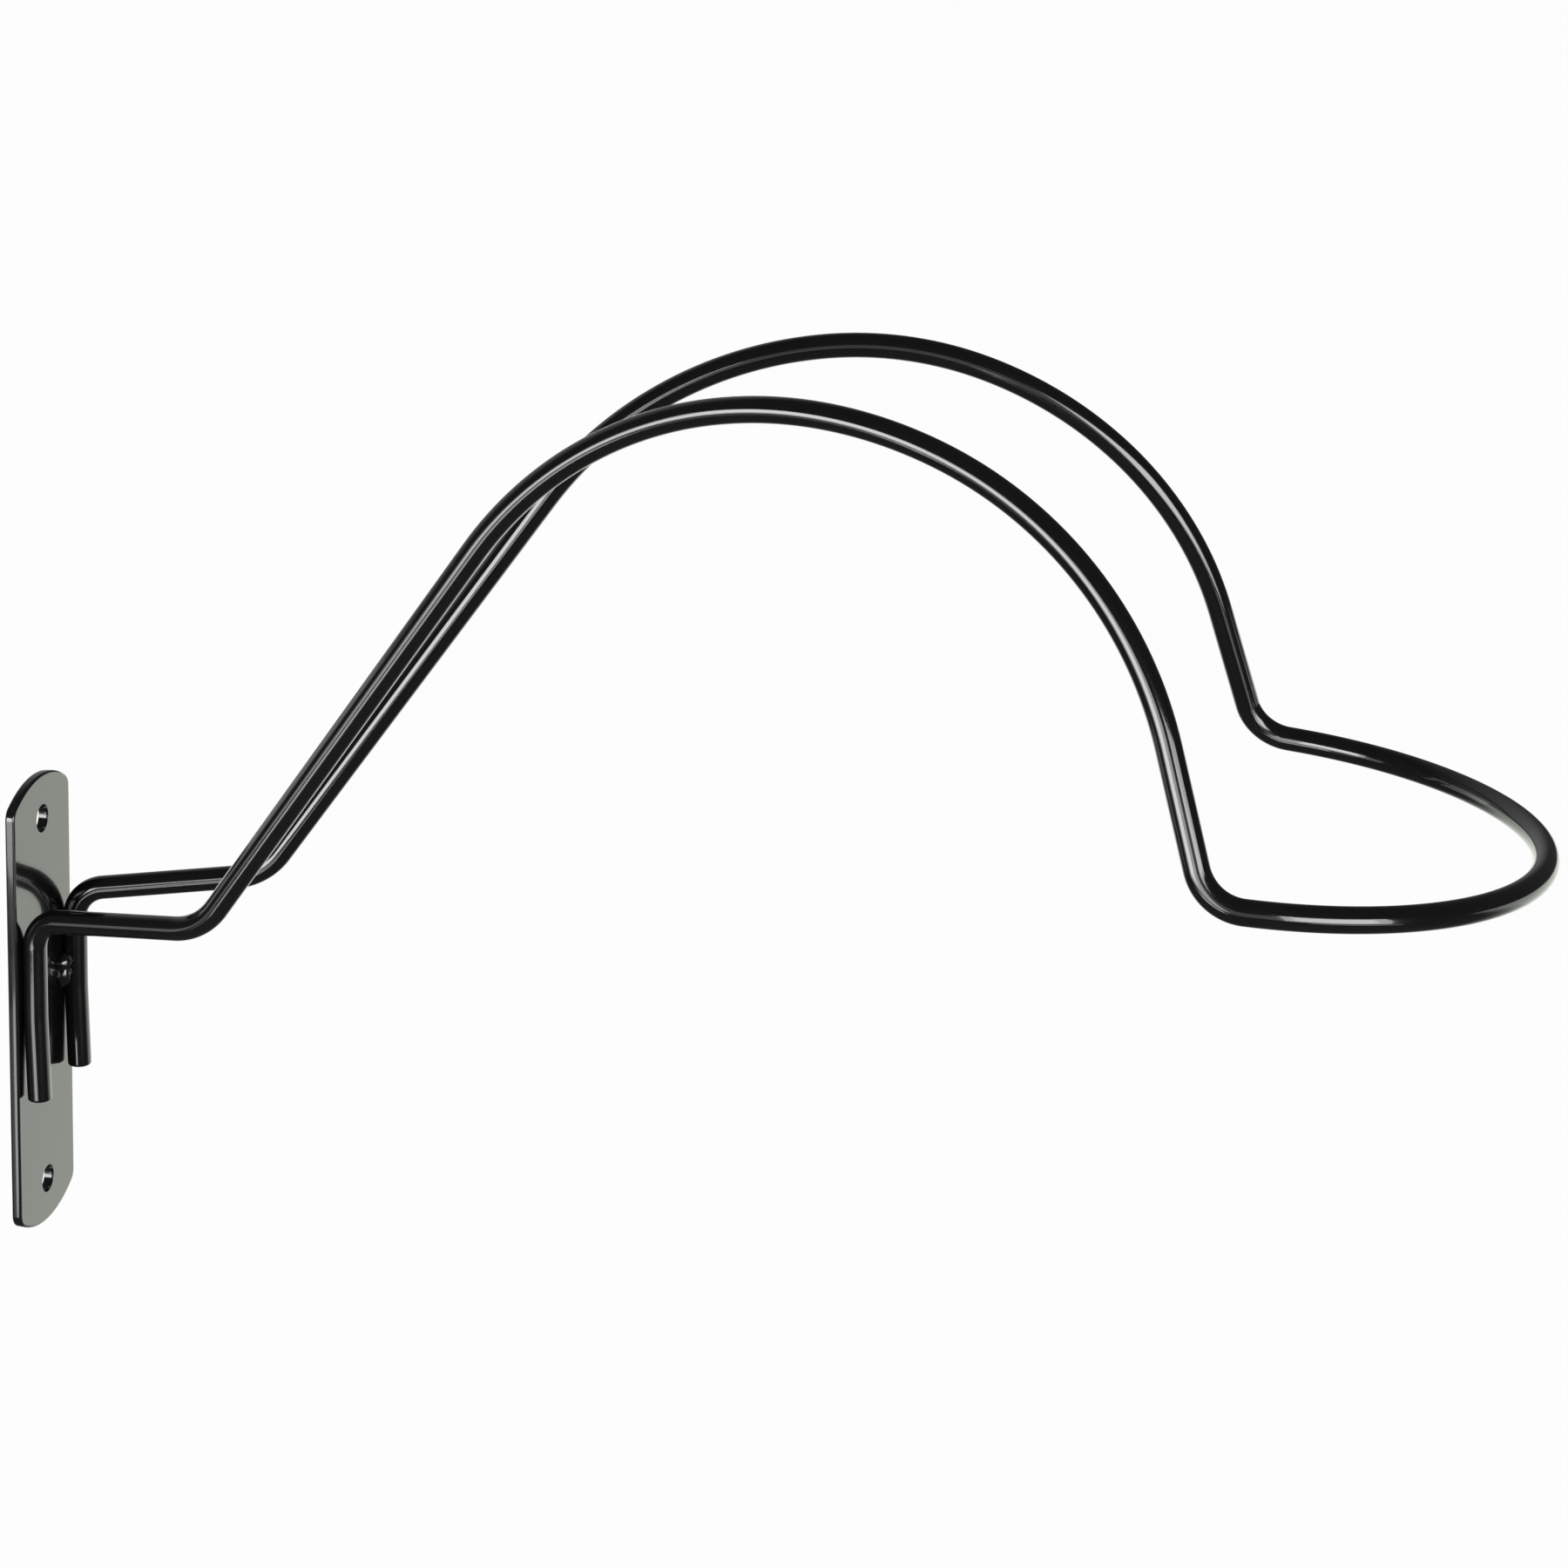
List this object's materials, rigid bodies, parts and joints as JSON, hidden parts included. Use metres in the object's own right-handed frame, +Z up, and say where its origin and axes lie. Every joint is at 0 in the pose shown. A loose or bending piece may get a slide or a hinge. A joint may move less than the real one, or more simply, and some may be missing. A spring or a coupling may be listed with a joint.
{
  "type": "helmet hanger",
  "caption": "Black bent-rod helmet hanger: wide half-round front loop and arched rails on a small screw-on wall plate.",
  "frame": {"origin": "middle of the wall plate's back face", "axes": "+X outward from the wall, +Y across the hanger, +Z up"},
  "size_m": [0.3908, 0.1532, 0.2521],
  "materials": {
    "plate_coating": "gloss black coating",
    "rod_coating": "gloss black coating",
    "weld_coating": "gloss black coating over weld"
  },
  "bodies": {
    "root": {"wall_plate": "plate_coating", "hanger_rod": "rod_coating", "weld_bead_left": "weld_coating", "weld_bead_right": "weld_coating"}
  },
  "joints": []
}
